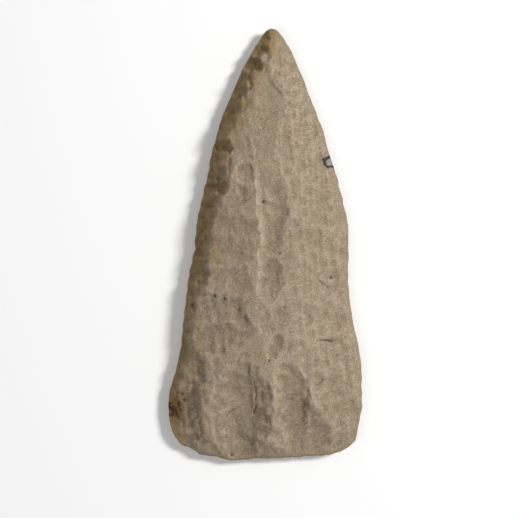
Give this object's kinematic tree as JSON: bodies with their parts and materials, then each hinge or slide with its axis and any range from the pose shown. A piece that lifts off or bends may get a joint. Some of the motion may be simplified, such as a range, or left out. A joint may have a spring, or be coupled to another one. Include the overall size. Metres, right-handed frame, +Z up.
{
  "type": "flint blade",
  "caption": "Knapped flint blade, an elongated triangle with a pointed tip, a retouched left edge and a straight thinned base.",
  "frame": {"origin": "middle of the blade's bounding box in plan, on the plane that its back face rests on", "axes": "+Y from the base to the tip, +X across the blade, +Z up out of the worked face"},
  "size_m": [0.0674, 0.15, 0.013],
  "materials": {
    "flint": "satin"
  },
  "bodies": {
    "root": {"flint_blade": "flint"}
  },
  "joints": []
}
